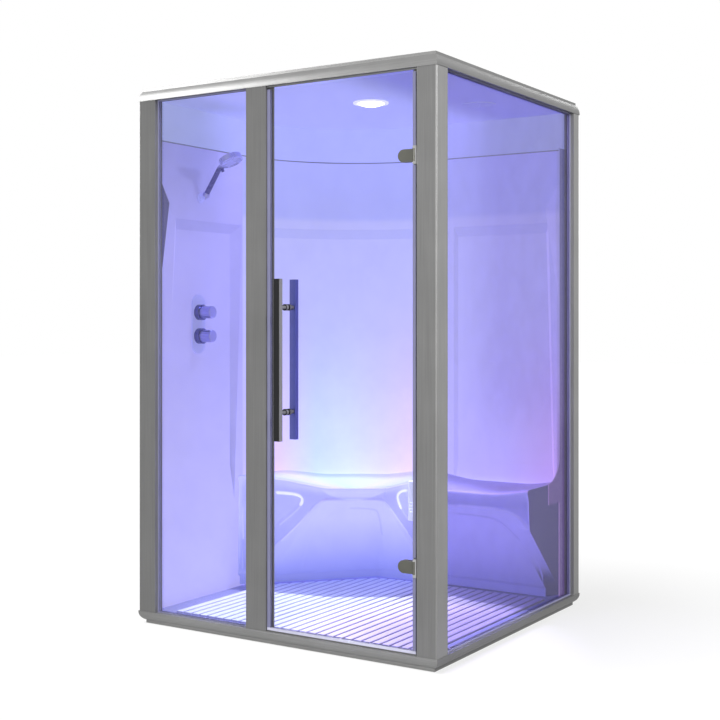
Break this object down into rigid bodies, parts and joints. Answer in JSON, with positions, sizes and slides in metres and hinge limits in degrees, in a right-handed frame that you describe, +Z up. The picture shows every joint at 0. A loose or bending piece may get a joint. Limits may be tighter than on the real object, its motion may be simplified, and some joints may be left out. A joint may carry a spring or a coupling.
{
  "type": "steam sauna cabin",
  "caption": "Free-standing steam cabin with an aluminium frame, glass front and side, hinged glass door, moulded interior with seats, slatted deck, mixer and hand shower.",
  "frame": {"origin": "middle of the bounding box at floor level, the door's pull bar included", "axes": "+Z up, +X to the right seen from the front, +Y from the glass front towards the back wall"},
  "size_m": [1.37, 1.322, 2.15],
  "materials": {
    "frame_aluminium": "satin anodised, fine vertical brushing",
    "glazing": "clear tempered glass",
    "black_rubber": "matt",
    "clear_seal": "translucent grey vinyl",
    "outer_sheet": "smooth powder coat",
    "white_moulding": "gloss white sanitary acrylic",
    "deck_plastic": "matt white",
    "glow_strip": "light diffuser, lit",
    "steam_steel": "brushed",
    "copper_pipe": "drawn tube",
    "lamp_white": "gloss white ring",
    "lamp_diffuser": "frosted dome, lit",
    "chrome": "polished",
    "dark_hardware": "satin dark anodised",
    "hinge_metal": "satin",
    "handle_inner_finish": "satin dark anodised",
    "grey_plastic": "matt",
    "drain_steel": "satin"
  },
  "bodies": {
    "cabin": {"back_outer_panel": "outer_sheet", "base_rail_back": "frame_aluminium", "base_rail_front": "frame_aluminium", "base_rail_left": "frame_aluminium", "base_rail_right": "frame_aluminium", "cable_gland": "grey_plastic", "ceiling_grille": "white_moulding", "ceiling_liner": "white_moulding", "control_box": "outer_sheet", "door_frame_strips": "clear_seal", "drain_body": "drain_steel", "drain_strainer": "drain_steel", "floor_deck": "deck_plastic", "floor_tray": "white_moulding", "front_window_gasket": "black_rubber", "front_window_glass": "glazing", "hinge_pins": "hinge_metal", "hinge_post_leaves": "hinge_metal", "lamp_housing": "lamp_white", "lamp_lens": "lamp_diffuser", "left_outer_panel": "outer_sheet", "levelling_feet": "grey_plastic", "mixer_body": "chrome", "mixer_plate": "chrome", "mullion": "frame_aluminium", "post_back_left": "frame_aluminium", "post_back_right": "frame_aluminium", "post_front_left": "frame_aluminium", "post_front_right": "frame_aluminium", "roof_panel": "outer_sheet", "seat_left": "white_moulding", "seat_light_strip": "glow_strip", "seat_right": "white_moulding", "shower_elbow": "chrome", "side_window_gasket": "black_rubber", "side_window_glass": "glazing", "steam_generator": "steam_steel", "steam_outlet_cowl": "white_moulding", "steam_pipe": "steam_steel", "top_rail_back": "frame_aluminium", "top_rail_front": "frame_aluminium", "top_rail_left": "frame_aluminium", "top_rail_right": "frame_aluminium", "wall_liner_back": "white_moulding", "wall_liner_corner": "white_moulding", "wall_liner_left": "white_moulding", "water_pipe": "copper_pipe"},
    "door": {"door_glass": "glazing", "door_edge_seals": "clear_seal", "door_sweep_seal": "clear_seal", "door_handle_outer": "dark_hardware", "door_handle_inner": "handle_inner_finish", "handle_standoffs": "dark_hardware", "hinge_glass_clamps": "hinge_metal", "hinge_clamp_screws": "hinge_metal"},
    "temperature_knob": {"temperature_knob": "chrome"},
    "flow_knob": {"flow_knob": "chrome"},
    "shower_holder": {"shower_holder": "chrome"},
    "shower_handset": {"shower_handset": "chrome"},
    "spray_selector": {"spray_selector": "chrome"}
  },
  "joints": [
    {"name": "door_hinge", "type": "hinge", "parent": "cabin", "child": "door", "pos_m": [0.593, -0.607, 1.075], "axis": [0, 0, 1], "range_deg": [0, 100]},
    {"name": "temperature_turn", "type": "hinge", "parent": "cabin", "child": "temperature_knob", "pos_m": [-0.605, -0.28096, 1.25326], "axis": [1, 0, 0], "range_deg": [-120, 120]},
    {"name": "flow_turn", "type": "hinge", "parent": "cabin", "child": "flow_knob", "pos_m": [-0.605, -0.28096, 1.15326], "axis": [1, 0, 0], "range_deg": [0, 180]},
    {"name": "shower_tilt", "type": "hinge", "parent": "cabin", "child": "shower_holder", "pos_m": [-0.611, -0.28096, 1.736], "axis": [0, 1, 0], "range_deg": [-20, 20]},
    {"name": "handset_lift", "type": "slide", "parent": "shower_holder", "child": "shower_handset", "axis": [0.5577, 0, 0.83], "range_m": [0, 0.06]},
    {"name": "spray_select", "type": "hinge", "parent": "shower_handset", "child": "spray_selector", "pos_m": [-0.51525, -0.28096, 1.84804], "axis": [0.4384, 0, -0.8988], "range_deg": [0, 120]}
  ]
}
